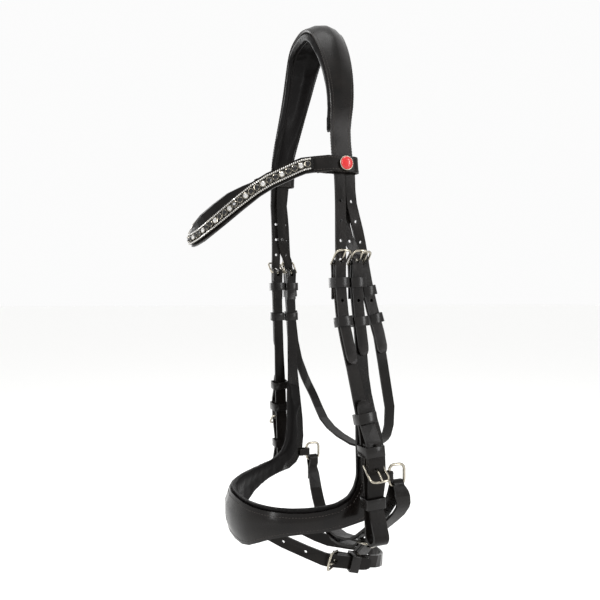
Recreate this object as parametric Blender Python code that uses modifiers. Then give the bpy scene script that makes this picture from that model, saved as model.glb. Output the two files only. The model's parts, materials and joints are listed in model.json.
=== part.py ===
"""Snaffle bridle: padded headpiece, drop browband, flash noseband on its own head strap,
throatlash and buckled bit ends.

Metres, +Z up, +X to the horse's left (the near side), -Y to the nose.
The origin is where the padded crown rests on the poll.
"""
import math

import bmesh
import bpy
from mathutils import Matrix, Vector

MM = 0.001

# Overall sizes
HALF_WIDTH = 0.095          # middle of the bridle to the cheek billets, below the browband
POLL_TO_BIT = 0.519         # poll rest to the lowest point of the bit loops
FRONT_REACH = 0.110         # headpiece middle to the front of the noseband

# Headpiece and its padding
CROWN_THICKNESS = 0.0028
CROWN_PAD_THICKNESS = 0.0072
HEADSTRAP_THICKNESS = 0.0022
CROWN_PAD_ROLL = 0.004      # how far the padding stands out in front of the leather
BILLET_WIDTH = 0.0105
BILLET_SLIT = 0.0007        # cut between the cheek billet and the throat billet

# Straps
CHEEK_WIDTH = 0.0115
STRAP_THICKNESS = 0.0026
NOSE_STRAP_WIDTH = 0.0115
THROAT_WIDTH = 0.0105
BIT_END_WIDTH = 0.015
JAW_WIDTH = 0.015
FLASH_WIDTH = 0.0125
TIP_LENGTH = 0.009
CHAPE_LENGTH = 0.034        # length of a strap end turned back round its buckle bar
CHAPE_NECK = 0.0098         # where its two layers come together

# Buckles
WIRE = 0.0024               # thickness of a buckle frame's wire
TONGUE_WIRE = 0.0019
BUCKLE_LENGTH = 0.019       # buckle bar to the far bar
BUCKLE_LEAN = math.radians(50)
HOLE_RADIUS = 0.0025        # the hole in use, pulled wide by its tongue
SPARE_RADIUS = 0.0016
HOLE_PITCH = 0.0192

# Keepers
KEEPER_HEIGHT = 0.0095
KEEPER_THICKNESS = 0.0016

# Browband
BROWBAND_WIDTH = 0.0155
BROWBAND_THICKNESS = 0.0026
CRYSTAL_WIDTH = 0.0112
CRYSTAL_THICKNESS = 0.0016
CRYSTAL_START = -0.0510      # how far forward of the poll the crystals begin
BUTTON_RADIUS = 0.0062
BUTTON_HEIGHT = 0.0034

# Noseband
NOSE_LEATHER = 0.0026
NOSE_PAD_THICKNESS = 0.0085
NOSE_ROLL = 0.0045          # lining that shows above the leather

# Rings
RING_LENGTH = 0.017
RING_HEIGHT = 0.0205
RING_WIRE = 0.0030
TAB_WIDTH = 0.008
TAB_THICKNESS = 0.0020

# Clearances
GAP = 0.0004                # between leather layers
LOOSE = 0.0006              # round what a keeper, loop or hole holds

OUT = HALF_WIDTH / 0.095
DOWN = POLL_TO_BIT / 0.519
REACH = FRONT_REACH / 0.110
NEAR, FAR = 1, -1
UP = Vector((0, 0, 1))
BACK = Vector((0, 1, 0))


# ---------------------------------------------------------------- scene and materials

for old in list(bpy.data.objects):
    bpy.data.objects.remove(old, do_unlink=True)

bridle = bpy.data.collections.new("snaffle_bridle")
cutters = bpy.data.collections.new("cutters")
bpy.context.scene.collection.children.link(bridle)
bpy.context.scene.collection.children.link(cutters)


def finish(name, colour, roughness, metallic):
    """A plain Principled material."""
    material = bpy.data.materials.new(name)
    material.use_nodes = True
    shader = material.node_tree.nodes["Principled BSDF"]
    shader.inputs["Base Color"].default_value = (*colour, 1)
    shader.inputs["Roughness"].default_value = roughness
    shader.inputs["Metallic"].default_value = metallic
    return material


strap_leather = finish("black_bridle_leather", (0.012, 0.011, 0.011), 0.38, 0)
keeper_leather = finish("black_keeper_leather", (0.010, 0.009, 0.009), 0.28, 0)
lining_leather = finish("black_lining_leather", (0.015, 0.014, 0.014), 0.5, 0)
steel = finish("polished_steel", (0.62, 0.60, 0.55), 0.2, 1)
crystal = finish("crystal_chain", (0.70, 0.70, 0.72), 0.15, 0.6)
enamel = finish("red_enamel", (0.55, 0.01, 0.01), 0.15, 0)


# ---------------------------------------------------------------- routes

def spot(out, back, down):
    """A place in design millimetres, carried to the overall sizes."""
    lead = min(back + 30, 0) * (REACH - 1)
    return Vector((out * MM * OUT, (back + lead) * MM, -down * MM * DOWN))


def spline(points):
    """Smooth line through points of any dimension; the first three set how the spans are paced."""
    steps = 14
    first = [2 * a - b for a, b in zip(points[0], points[1])]
    last = [2 * a - b for a, b in zip(points[-1], points[-2])]
    chain = [first] + [list(point) for point in points] + [last]
    pace = [max(math.dist(a[:3], b[:3]), 1e-6) ** 0.5 for a, b in zip(chain, chain[1:])]
    line = []
    for i in range(1, len(chain) - 2):
        d, e, f = pace[i - 1], pace[i], pace[i + 1]
        for k in range(steps):
            t = k / steps
            row = []
            for p, q, r, s in zip(*chain[i - 1:i + 3]):
                leave = e * ((q - p) / d - (r - p) / (d + e) + (r - q) / e)
                arrive = e * ((r - q) / e - (s - q) / (e + f) + (s - r) / f)
                row.append(q + t * (leave + t * (3 * (r - q) - 2 * leave - arrive
                                                 + t * (2 * (q - r) + leave + arrive))))
            line.append(row)
    line.append(list(points[-1]))
    return line


def stations(points, turn=11, reach=0.024):
    """Sections of a strap: (centre, across, width), kept only where the strap bends.

    Each point is (place, across, width), and across is squared up to the route.
    """
    dense = spline([(*place, *across, width) for place, across, width in points])
    places = [Vector(row[:3]) for row in dense]
    kept = []
    last = None
    for i, row in enumerate(dense):
        ahead = (places[min(i + 1, len(dense) - 1)] - places[max(i - 1, 0)]).normalized()
        across = Vector(row[3:6]).normalized()
        side = (across - ahead * across.dot(ahead)).normalized()
        if last is not None and i < len(dense) - 1:
            bent = math.degrees(last[1].angle(ahead))
            wound = math.degrees(last[2].angle(side))
            resized = abs(row[6] - last[3]) > 0.0012
            far = (places[i] - last[0]).length > reach
            if bent < turn and wound < turn and not resized and not far:
                continue
        kept.append((places[i], side, row[6], ahead))
        last = (places[i], ahead, side, row[6])
    return kept


def add_mesh(name, mesh, material, collection=bridle):
    """Link a mesh as a named object."""
    piece = bpy.data.objects.new(name, mesh)
    if material:
        mesh.materials.append(material)
    collection.objects.link(piece)
    return piece


def solidify(piece, thickness, offset=0.0):
    """Give a surface its thickness."""
    shell = piece.modifiers.new("thickness", "SOLIDIFY")
    shell.thickness = thickness
    shell.offset = offset
    shell.use_even_offset = True
    return shell


def sheet(name, rows, thickness, material, drop=(), offset=0.0):
    """A grid with the given rows of points, less the dropped cells, made solid."""
    columns = len(rows[0])
    grid = bmesh.new()
    bmesh.ops.create_grid(grid, x_segments=columns - 1, y_segments=len(rows) - 1, size=1)
    grid.verts.ensure_lookup_table()
    order = sorted(grid.verts, key=lambda v: (round(v.co.y, 6), round(v.co.x, 6)))
    place = {}
    for i, vert in enumerate(order):
        place[vert] = divmod(i, columns)
    spare = [face for face in grid.faces
             if (min(place[v][0] for v in face.verts), min(place[v][1] for v in face.verts)) in drop]
    for vert, (row, column) in place.items():
        vert.co = rows[row][column]
    bmesh.ops.delete(grid, geom=spare, context="FACES")
    mesh = bpy.data.meshes.new(name)
    grid.to_mesh(mesh)
    grid.free()
    piece = add_mesh(name, mesh, material)
    solidify(piece, thickness, offset)
    return piece


def loft(name, sections, material):
    """A closed solid through sections that all have the same number of points."""
    shell = bmesh.new()
    rings = [[shell.verts.new(place) for place in section] for section in sections]
    for a, b in zip(rings, rings[1:]):
        for i in range(len(a)):
            j = (i + 1) % len(a)
            shell.faces.new((a[i], a[j], b[j], b[i]))
    shell.faces.new(rings[0][::-1])
    shell.faces.new(rings[-1])
    bmesh.ops.recalc_face_normals(shell, faces=shell.faces)
    mesh = bpy.data.meshes.new(name)
    shell.to_mesh(mesh)
    shell.free()
    return add_mesh(name, mesh, material)


def strap(name, points, thickness, material, tip=False, columns=1):
    """A flat strap along (place, across, width) points; a tip rounds its last end."""
    rows = []
    path = stations(points)
    if tip:
        path = tipped(path)
    for place, side, width, _ in path:
        rows.append([place + side * width * (c / columns - 0.5) for c in range(columns + 1)])
    return sheet(name, rows, thickness, material)


def tipped(path):
    """Replace the last section with a rounded point."""
    end, side, width, ahead = path[-1]
    body = [row for row in path if (row[0] - end).length > TIP_LENGTH]
    for share in (1.0, 0.55, 0.2, 0.0):
        narrow = width * (0.28 + 0.72 * math.sqrt(1 - (1 - share) ** 2))
        body.append((end - ahead * TIP_LENGTH * share, side, narrow, ahead))
    return body


def along(points, down):
    """Place on a side strap's route at a depth below the poll, with its directions."""
    dense = spline([(*place, *across, width) for place, across, width in points])
    for a, b in zip(dense, dense[1:]):
        if (a[2] + down) * (b[2] + down) <= 0:
            here, there = Vector(a[:3]), Vector(b[:3])
            share = (a[2] + down) / (a[2] - b[2])
            ahead = (here - there).normalized()
            if ahead.z < 0:
                ahead = -ahead
            side = (BACK - ahead * ahead.y).normalized()
            return here.lerp(there, share), ahead, side
    raise ValueError("the strap does not reach that depth")


# ---------------------------------------------------------------- hardware shapes

def tube(name, points, thickness, material, closed=False):
    """A bent wire."""
    curve = bpy.data.curves.new(name, "CURVE")
    curve.dimensions = "3D"
    curve.bevel_depth = thickness / 2
    curve.bevel_resolution = 1
    curve.use_fill_caps = True
    line = curve.splines.new("POLY")
    line.points.add(len(points) - 1)
    for point, place in zip(line.points, points):
        point.co = (*place, 1)
    line.use_cyclic_u = closed
    curve.materials.append(material)
    piece = bpy.data.objects.new(name, curve)
    bridle.objects.link(piece)
    return piece


def rounded(width, length, radius, per_corner):
    """Points of a rounded rectangle, counterclockwise."""
    points = []
    for i, (sx, sy) in enumerate(((1, 1), (-1, 1), (-1, -1), (1, -1))):
        for k in range(per_corner):
            angle = math.radians(90 * (i + (k / (per_corner - 1) if per_corner > 1 else 0.5)))
            points.append((sx * (width / 2 - radius) + radius * math.cos(angle),
                           sy * (length / 2 - radius) + radius * math.sin(angle)))
    return points


def stand(piece, place, x_axis, y_axis):
    """Set a piece at a place with its local X and Y along the given directions."""
    x = x_axis.normalized()
    z = x.cross(y_axis).normalized()
    y = z.cross(x)
    turn = Matrix((x, y, z)).transposed().to_4x4()
    piece.matrix_world = Matrix.Translation(place) @ turn


def buckle(kind, side_name, bar, up, side, outward, strap_width, lean=BUCKLE_LEAN, length=BUCKLE_LENGTH):
    """A wire frame that leans out from its bar, and a tongue hooked on the bar.

    up is the way the frame reaches along the strap. The tongue goes straight out
    through the billet and then over the far bar.
    """
    width = strap_width + 2 * LOOSE + WIRE
    reach = up * math.cos(lean) + outward * math.sin(lean)
    corners = rounded(width, length, 0.0042, 4)[:8] + [(-width / 2, -length / 2), (width / 2, -length / 2)]
    frame = [side * x + reach * (y + length / 2) for x, y in corners]
    name = "_".join(part for part in (kind, "buckle", side_name) if part)
    ring = tube(name, frame, WIRE, steel, closed=True)
    ring.location = bar
    hook = (WIRE + TONGUE_WIRE) / 2 + GAP
    points = []
    for k in range(7):
        angle = math.radians(-100 - 40 * k)
        points.append(up * hook * math.cos(angle) + outward * hook * math.sin(angle))
    over = reach * length + (outward * math.cos(lean) - up * math.sin(lean)) * hook
    lift = hook + 2.4 * STRAP_THICKNESS
    points.append(up * hook + outward * lift * 0.6)
    points.append(up * hook * 1.25 + outward * lift)
    points.append((up * hook * 1.25 + outward * lift).lerp(over, 0.55) + outward * 0.0006)
    points.append(over + outward * 0.0002)
    points.append(over + reach * 0.0016)
    name = "_".join(part for part in (kind, "tongue", side_name) if part)
    tongue = tube(name, points, TONGUE_WIRE, steel)
    tongue.location = bar
    return bar + up * hook * 1.15


def keeper(name, place, up, side, layers_in, layers_out, width, height=KEEPER_HEIGHT):
    """A leather loop round a stack of straps.

    layers_in and layers_out are the depths of the stack on the inner and outer side of place.
    """
    outward = side.cross(up)
    inner = (width + 2 * LOOSE, layers_in + layers_out + 2 * LOOSE)
    curve = bpy.data.curves.new(name, "CURVE")
    curve.dimensions = "2D"
    curve.fill_mode = "BOTH"
    curve.extrude = height / 2
    rim = rounded(inner[0] + 2 * KEEPER_THICKNESS, inner[1] + 2 * KEEPER_THICKNESS, 0.0014, 3)
    eye = rounded(inner[0], inner[1], 0.0001, 1)
    for outline in (rim, eye):
        line = curve.splines.new("POLY")
        line.points.add(len(outline) - 1)
        for point, (x, y) in zip(line.points, outline):
            point.co = (x, y, 0, 1)
        line.use_cyclic_u = True
    curve.materials.append(keeper_leather)
    piece = bpy.data.objects.new(name, curve)
    bridle.objects.link(piece)
    middle = place + outward * (layers_out - layers_in) / 2
    stand(piece, middle, side, outward)
    return piece


def cut(target, name, holes):
    """Cut round holes, each (place, axis, radius), or one box, (place, its three edges)."""
    tool = bmesh.new()
    for place, *edges in holes:
        if len(edges) == 2:
            turn = edges[0].to_track_quat("Z", "X").to_matrix().to_4x4()
            bmesh.ops.create_cone(tool, cap_ends=True, segments=12, radius1=edges[1],
                                  radius2=edges[1], depth=0.012,
                                  matrix=Matrix.Translation(place) @ turn)
        else:
            turn = Matrix(edges).transposed().to_4x4()
            bmesh.ops.create_cube(tool, size=1, matrix=Matrix.Translation(place) @ turn)
    bmesh.ops.recalc_face_normals(tool, faces=tool.faces)
    mesh = bpy.data.meshes.new(name)
    tool.to_mesh(mesh)
    tool.free()
    piece = add_mesh(name, mesh, None, cutters)
    piece.hide_render = True
    piece.display_type = "WIRE"
    boolean = target.modifiers.new("cut", "BOOLEAN")
    boolean.object = piece
    boolean.operation = "DIFFERENCE"
    boolean.solver = "EXACT"


# ---------------------------------------------------------------- buckle stations

# Frames stand side by side, so a row of straps is as far apart as its frames are wide.
FRAME_WIDTH = CHEEK_WIDTH + 2 * LOOSE + 2 * WIRE
BAR_DOWN = 258              # depth of the upper buckle bars, in design millimetres
FOLD = WIRE / 2 + GAP + STRAP_THICKNESS / 2          # strap centre round a buckle bar
OVER_BAR = FOLD + STRAP_THICKNESS + 2 * GAP          # billet centre outside a buckle bar
LAYER = STRAP_THICKNESS + GAP                        # from one strap layer to the next

CHEEK_BACK = -22.6
NOSE_BACK = CHEEK_BACK + (FRAME_WIDTH + LOOSE) / MM
BAR_OUT = HALF_WIDTH / MM / OUT - 4.6
ASKEW = 1.3                 # the bridle hangs a little turned: near straps forward, far straps back


def side_of(sign):
    return "near" if sign == NEAR else "far"


def on_side(sign, out, back, down, askew=ASKEW):
    """A place on one side, moved for the way the bridle hangs."""
    share = min(1.0, max(0.0, (420 - down) / 120), 0.4 + max(0.0, down - 170) / 133)
    place = spot(out, back - sign * askew * share, down)
    return Vector((sign * place.x, place.y, place.z))


# ---------------------------------------------------------------- headpiece

# Crown from the far division to the near one: out, down, front edge, back edge
CROWN = (
    (-95.2, 167, -28.6, -6.9), (-93, 144, -29, -5), (-89.5, 118, -28.5, -0.5), (-84.5, 88, -25, 6),
    (-79, 60, -22, 11.5), (-73.5, 36, -20.5, 16), (-67, 12, -20, 20), (-57, -3, -20.5, 22),
    (-40, -11.5, -22, 22.5), (-20, -14, -23.5, 21.5), (0, -13, -25, 19.5), (17, -8.5, -26, 16), (35, 2, -26.5, 11),
    (51, 21, -25.5, 8.5), (63, 47, -23.8, 6.5), (72.5, 74, -23.8, 3), (80, 100, -26, -2),
    (86.5, 126, -29.2, -8.2), (91.2, 150, -30, -9), (94.3, 167, -29.8, -8.1),
)
DOME = 7.5                  # how far its edges bend down at the poll

# Billet middles below the division, near side: out, back, down
CHEEK_BILLET = ((95, -23.8, 174), (95.2, -22.8, 196), (95.4, -22.4, 232), (0, 0, 258), (0, 0, 273),
                (96.6, -21.4, 293), (98.8, -20, 314), (102.4, -18, 331), (107.6, -15.2, 354))
THROAT_BILLET = {
    NEAR: ((95, -13.5, 174), (94.8, -12.2, 196), (94.2, -6.8, 216), (91.4, -2, 228), (88, 3, 242),
           (84.3, 7.9, 258), (84.3, 10.9, 273), (84, 16.6, 296), (85.1, 21.8, 316), (86.5, 25.6, 331),
           (87.4, 28, 347)),
    FAR: ((95.6, -12.2, 174), (97.8, -9, 196), (107.6, -3.4, 230), (112.4, 0.6, 258),
          (112.3, 1.4, 273), (111.6, 3, 296), (112, 5, 316), (112.8, 7, 331), (113.6, 9, 347)),
}


def crown_rows(inset, grow_front, stop=999):
    """Sections over the poll from the near side to the far side: (front, back, normal, dome)."""
    dense = spline(CROWN)[::-1]
    rows = []
    for i in range(0, len(dense), 7):
        out, down, front, back = dense[i]
        if down > stop:
            continue
        ahead, behind = dense[min(i + 2, len(dense) - 1)], dense[max(i - 2, 0)]
        run = Vector((ahead[0] - behind[0], 0, behind[1] - ahead[1])).normalized()
        normal = Vector((run.z, 0, -run.x))
        middle = spot(out, 0, down)
        dome = DOME * MM * min(1.0, max(0.0, (95 - down) / 80))
        rows.append((middle + BACK * (front * MM + inset - grow_front), middle + BACK * (back * MM - inset),
                     normal, dome))
    return rows


def across_crown(row, shares, lift):
    """Points across a crown section, on its domed face plus a lift."""
    front, back, normal, dome = row
    return [front.lerp(back, k) + normal * (lift - dome * (2 * k - 1) ** 2) for k in shares]


def under_crown(row, share, lift):
    """A point below a crown section whose dome is drawn in straight quarters like the leather's."""
    part = min(3, max(0, int(share * 4))) / 4
    ends = across_crown(row, (part, part + 0.25), lift)
    return ends[0].lerp(ends[1], (share - part) * 4)


def billet_centres(route, sign):
    """Billet middles with the places beside the buckle bar filled in."""
    centres = []
    beside = BAR_OUT + OVER_BAR / MM / OUT
    for out, back, down in route:
        if out == 0:
            centres.append(on_side(sign, beside if down == BAR_DOWN else beside - 0.6, CHEEK_BACK, down))
        else:
            centres.append(on_side(sign, out, back, down, ASKEW if route is CHEEK_BILLET else 0))
    return centres


def billet_rows(sign):
    """Six-point rows for the two billets of one side, from the division to the tips."""
    cheek = stations([(p, BACK, BILLET_WIDTH) for p in billet_centres(CHEEK_BILLET, sign)],
                     turn=200, reach=0.0125)
    throat = stations([(p, BACK, BILLET_WIDTH) for p in billet_centres(THROAT_BILLET[sign], sign)],
                      turn=200, reach=0.0125)
    count = min(len(cheek), len(throat)) - 1
    pairs = list(zip(cheek[:count], throat[:count]))
    pairs += list(zip(tipped([cheek[-1]])[1:], tipped([throat[-1]])[1:]))
    return [[p + side * width * k for p, side, width, _ in pair for k in (-0.5, 0, 0.5)] for pair in pairs]


def make_headpiece():
    """One leather: the crown over the poll, and two billets at each end."""
    crown = []
    for row in crown_rows(0, 0):
        slit = BILLET_SLIT / 2 / (row[1] - row[0]).length
        crown.append(across_crown(row, (0, 0.25, 0.5 - slit, 0.5 + slit, 0.75, 1), -CROWN_THICKNESS / 2))
    near, far = billet_rows(NEAR), billet_rows(FAR)
    rows = near[::-1] + crown + far
    drop = {(i, 2) for i in range(len(near))}
    drop |= {(i, 2) for i in range(len(near) + len(crown) - 1, len(rows))}
    piece = sheet("headpiece", rows, CROWN_THICKNESS, strap_leather, drop)
    holes = []
    for sign in (NEAR, FAR):
        for route, bar in ((CHEEK_BILLET, "cheek"), (THROAT_BILLET[sign], "throat")):
            points = [(p, BACK, BILLET_WIDTH) for p in billet_centres(route, sign)]
            used = BAR_DOWN * MM * DOWN - hole_rise()
            for step in (-3, -2, -1, 0, 2):
                place, ahead, side = along(points, used + step * HOLE_PITCH)
                holes.append((place, side.cross(ahead), HOLE_RADIUS if step == 0 else SPARE_RADIUS))
    cut(piece, "headpiece_holes", holes)
    return piece


def hole_rise():
    """How far above a buckle bar its tongue goes through the billet."""
    return ((WIRE + TONGUE_WIRE) / 2 + GAP) * 1.15


def make_padding():
    """Soft lining under the crown, rolled out in front, with a channel for the noseband headstrap."""
    top = -CROWN_THICKNESS - GAP
    channel = top - HEADSTRAP_THICKNESS - 2 * GAP + 0.0001
    under = channel - CROWN_PAD_THICKNESS
    half = NOSE_STRAP_WIDTH / 2 + LOOSE
    sections = []
    for row in crown_rows(0, 0, 134):
        wide = (row[1] - row[0]).length
        start, stop, part = (0.0012 - CROWN_PAD_ROLL) / wide, 1 - 0.0012 / wide, half / wide
        near_edge = min(0.25, 0.5 - part - 0.02)
        outline = ((start, top * 1.1), (near_edge, top), (0.5 - part, top), (0.5 - part, channel),
                   (0.5 + part, channel), (0.5 + part, top), (1 - near_edge, top), (stop, top * 1.1),
                   (stop + 0.0008 / wide, under / 2), (stop - 0.003 / wide, under), (0.5, under),
                   (start + 0.003 / wide, under), (start - 0.0012 / wide, under / 2))
        sections.append([under_crown(row, share, lift) for share, lift in outline])
    return loft("headpiece_padding", sections, lining_leather)


# Middles of the strap that carries the noseband, below the crown: out, back, down
HEADSTRAP = ((89.6, -17.9, 168), (90, -17.4, 184), (90.3, -16.7, 206), (91.6, -14.2, 228), (93, -9.4, 240),
             (95.9, NOSE_BACK - 0.2, 249),
             (BAR_OUT + OVER_BAR / MM / OUT, NOSE_BACK, 258), (BAR_OUT + OVER_BAR / MM / OUT - 0.6, NOSE_BACK, 273),
             (96.6, -3.7, 293), (97.8, -2.2, 314), (98.9, -0.6, 331), (99.8, 0.8, 347))


def make_headstrap():
    """The noseband's own strap over the poll, between the crown leather and its padding."""
    lift = -CROWN_THICKNESS - GAP - HEADSTRAP_THICKNESS / 2
    width = NOSE_STRAP_WIDTH - 0.001
    rows = []
    holes = []
    used = BAR_DOWN * MM * DOWN - hole_rise()
    for sign in (NEAR, FAR):
        tail = [(on_side(sign, *place), BACK, width) for place in HEADSTRAP]
        end = [[p - side * w / 2, p, p + side * w / 2] for p, side, w, _ in tipped(stations(tail, 200, 0.0125))]
        for step in (-2, -1, 0, 2):
            place, ahead, side = along(tail, used + step * HOLE_PITCH)
            holes.append((place, Vector((1, 0, 0)), HOLE_RADIUS if step == 0 else SPARE_RADIUS))
        if sign == FAR:
            rows += end
            continue
        rows = end[::-1]
        for row in crown_rows(0, 0, 150):
            part = width / 2 / (row[1] - row[0]).length
            rows.append([under_crown(row, share, lift) for share in (0.5 - part, 0.5, 0.5 + part)])
    piece = sheet("noseband_headstrap", rows, HEADSTRAP_THICKNESS, strap_leather)
    cut(piece, "headstrap_holes", holes)


make_headpiece()
make_padding()
make_headstrap()


# ---------------------------------------------------------------- side straps with buckles

# Strap middles below the buckle bars, near side: out, back, down
CHEEK_STRAP = ((92.6, -21.4, 293), (94.8, -20, 314), (98, -18, 331), (102.6, -15.4, 352),
               (109.2, -11.8, 378), (114.5, -8.8, 402), (117.6, -6.8, 424), (119.4, -5.2, 452),
               (120.4, -3.9, 478))
THROAT_STRAP = {
    NEAR: ((80, 16.4, 296), (81.3, 21.8, 316), (82.6, 25.6, 331), (83.3, 28.8, 350), (83, 32.6, 373),
           (79, 40, 398), (71, 44.6, 422), (60, 45.3, 440), (45, 39, 450), (27, 31.4, 453), (0, 25, 449)),
    FAR: ((107.4, 3, 296), (107.8, 5, 316), (108.4, 7, 331), (109, 9.4, 348), (109, 15.6, 374),
          (106, 24.6, 398), (96, 30, 415), (78, 29.5, 428), (56, 26, 437), (29, 24, 444), (0, 25, 449)),
}
THROAT_BACK = {NEAR: 7.6, FAR: 0.6}
THROAT_BAR_OUT = {NEAR: 77.8, FAR: 106}
THROAT_SLANT = {NEAR: 0.21, FAR: 0.06}


def chape(bar, up, outward, length=CHAPE_LENGTH, fold=FOLD):
    """Middle line of a strap end turned back round a bar, from its free end to the outside.

    The frame of the buckle reaches along up, and the strap runs the other way.
    """
    inside = bar - outward * LAYER / 2 - up * length
    line = [inside, inside + up * length * 0.25, bar - outward * LAYER * 0.62 - up * CHAPE_NECK,
            bar - outward * fold * 0.97 - up * fold]
    for k in range(9):
        angle = math.radians(22.5 * k)
        line.append(bar - outward * fold * math.cos(angle) + up * fold * math.sin(angle))
    line.append(bar + outward * fold * 0.97 - up * fold)
    line.append(bar + outward * LAYER * 0.62 - up * CHAPE_NECK)
    return line


def slot_cut(piece, name, bar, up, side, outward):
    """The slot in a chape where the tongue's hook sits on the bar."""
    wide = TONGUE_WIRE + 2 * LOOSE + 0.0006
    reach = 2 * (FOLD + STRAP_THICKNESS / 2 + GAP)
    tall = FOLD * 2 + 0.006
    cut(piece, name, [(bar + up * 0.0012, outward * reach, side * wide, up * tall)])


def keepers(kind, sign, bar, route, width, downs):
    """Fixed keeper and runner of one upper strap end."""
    half = STRAP_THICKNESS / 2
    place, ahead, side = along(route, downs[0] * MM * DOWN)
    out = abs(place.x) - abs(bar.x)
    keeper(f"{kind}_keeper_{side_of(sign)}", place, ahead, side * sign, half + out + LAYER / 2 + GAP,
           half + OVER_BAR - out, width + 0.0004)
    place, ahead, side = along(route, downs[1] * MM * DOWN)
    keeper(f"{kind}_runner_{side_of(sign)}", place, ahead, side * sign, half,
           half + LAYER + 0.0013, width + 0.0004)


def upper_end(kind, sign, bar, up, width):
    """Turned strap end and buckle of one upper strap, the same for all three kinds."""
    outward = Vector((sign, 0, 0))
    side = up.cross(outward) * -sign
    lean = math.radians(42) if (kind, sign) == ("noseband", FAR) else BUCKLE_LEAN
    buckle(kind, side_of(sign), bar, up, side, outward, width, lean)
    return chape(bar, up, outward)


def make_cheekpiece(sign):
    """Cheekpiece: turned round its buckle at the top, and round the bit's place at the bottom."""
    name = side_of(sign)
    bar = on_side(sign, BAR_OUT, CHEEK_BACK, BAR_DOWN)
    turned = [(p, BACK, CHEEK_WIDTH) for p in upper_end("cheek", sign, bar, UP, CHEEK_WIDTH)]
    body = []
    for out, back, down in CHEEK_STRAP:
        body.append((on_side(sign, out, back, down), BACK, CHEEK_WIDTH if down < 400 else BIT_END_WIDTH - 0.001))
    points = turned + body + bit_loop(sign)
    piece = strap(f"cheekpiece_{name}", points, STRAP_THICKNESS, strap_leather, tip=True)
    slot_cut(piece, f"cheek_slot_{name}", bar, UP, BACK, Vector((sign, 0, 0)))
    keepers("cheek", sign, bar, turned[-2:] + body, CHEEK_WIDTH, (276, 314))
    bit_end(sign, turned[-2:] + body, piece)


BIT_BAR_DOWN = 446          # depth of the bit-end buckle bars
BIT_LOOP_RADIUS = 0.0085    # room for the bit ring in the turned end
BIT_STACK = OVER_BAR + GAP  # buckle bar outside the cheekpiece
BIT_OVER = BIT_STACK + 1.5 * LAYER                   # billet outside the chape
BIT_BILLET = ((121, -3.4, 494, 0.0110), (120.9, -3.6, 482, 0.0066), (120.2, -4.2, 468, 0.0090),
              (119.6, -4.8, 456, 0.0112), (119.2, -5.4, 446, BIT_STACK + OVER_BAR),
              (118.6, -6.1, 436, BIT_OVER + 0.0011), (117.6, -6.8, 425, BIT_OVER + 0.0012),
              (115.8, -7.9, 411, LAYER + 0.0022), (114.2, -8.9, 402, LAYER + 0.0014),
              (111.4, -9.9, 387, LAYER + 0.0006))


def bit_loop(sign):
    """Middle line of the strap end round the bit's place, and up the outside to its tip."""
    r = BIT_LOOP_RADIUS
    centre = spot(121, -3, 519) + Vector((r, 0, r + STRAP_THICKNESS / 2))
    line = [centre + Vector((r * math.cos(math.radians(180 + 30 * k)), 0, r * math.sin(math.radians(180 + 30 * k))))
            for k in range(7)]
    for out, back, down, away in BIT_BILLET:
        line.append(spot(out, back, down) + Vector((away, 0, 0)))
    return [(Vector((sign * p.x, p.y, p.z)), BACK, BIT_END_WIDTH if i < len(line) - 2 else BIT_END_WIDTH - 0.0015)
            for i, p in enumerate(line)]


def bit_end(sign, route, piece):
    """Chape, buckle and keepers that close the bottom of a cheekpiece."""
    name = side_of(sign)
    place, ahead, side = along(route, BIT_BAR_DOWN * MM * DOWN)
    outward = side.cross(ahead)
    if outward.x * sign < 0:
        outward = -outward
    bar = place + outward * BIT_STACK
    line = chape(bar, -ahead, outward, length=0.020)
    line.append(bar + outward * LAYER / 2 + ahead * 0.020)
    holder = strap(f"bit_chape_{name}", [(p, side, BIT_END_WIDTH - 0.001) for p in line],
                   STRAP_THICKNESS, strap_leather)
    slot_cut(holder, f"bit_slot_{name}", bar, -ahead, side, outward)
    buckle("bit", name, bar, -ahead, side, outward, BIT_END_WIDTH)
    billet = [(p, s, w) for p, s, w in bit_loop(sign)][7:]
    hole, _, _ = along(billet, BIT_BAR_DOWN * MM * DOWN + hole_rise())
    spare, _, _ = along(billet, BIT_BAR_DOWN * MM * DOWN - HOLE_PITCH)
    cut(piece, f"bit_holes_{name}", [(hole, outward, HOLE_RADIUS), (spare, outward, SPARE_RADIUS)])
    for part, depth, inner, outer in (("keeper_upper", 433, 0, BIT_OVER + 0.0012), ("runner", 404, 0.0008, LAYER + 0.0030),
                                      ("keeper_lower", 481, 0.0004, 0.0078)):
        place, ahead, side = along(route if depth < 478 else route[:-1] + [(on_side(sign, 121, -3.4, 496), BACK, 1)],
                                   depth * MM * DOWN)
        keeper(f"bit_{part}_{name}", place, ahead, side * sign, STRAP_THICKNESS / 2 + inner,
               STRAP_THICKNESS / 2 + outer, BIT_END_WIDTH + 0.0004)


for sign in (NEAR, FAR):
    make_cheekpiece(sign)


# ---------------------------------------------------------------- throatlash

def make_throatlash():
    """One strap under the throat, turned round a buckle at each end."""
    points = []
    slots = []
    for sign in (NEAR, FAR):
        up = Vector((0, -THROAT_SLANT[sign], 1)).normalized()
        outward = Vector((sign, 0, 0))
        bar = on_side(sign, THROAT_BAR_OUT[sign], THROAT_BACK[sign], BAR_DOWN, 0)
        across = (BACK - up * up.y).normalized()
        turned = [(p, across, THROAT_WIDTH) for p in upper_end("throatlash", sign, bar, up, THROAT_WIDTH)]
        body = [(on_side(sign, *place, 0), BACK, THROAT_WIDTH) for place in THROAT_STRAP[sign]]
        keepers("throatlash", sign, bar, turned[-2:] + body, THROAT_WIDTH, (284, 312))
        slots.append((bar, up, across, outward))
        half = turned + body
        points += half if sign == NEAR else half[-2::-1]
    piece = strap("throatlash", points, STRAP_THICKNESS, strap_leather)
    for slot, name in zip(slots, ("near", "far")):
        slot_cut(piece, f"throat_slot_{name}", *slot)


make_throatlash()


# ---------------------------------------------------------------- noseband

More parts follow.
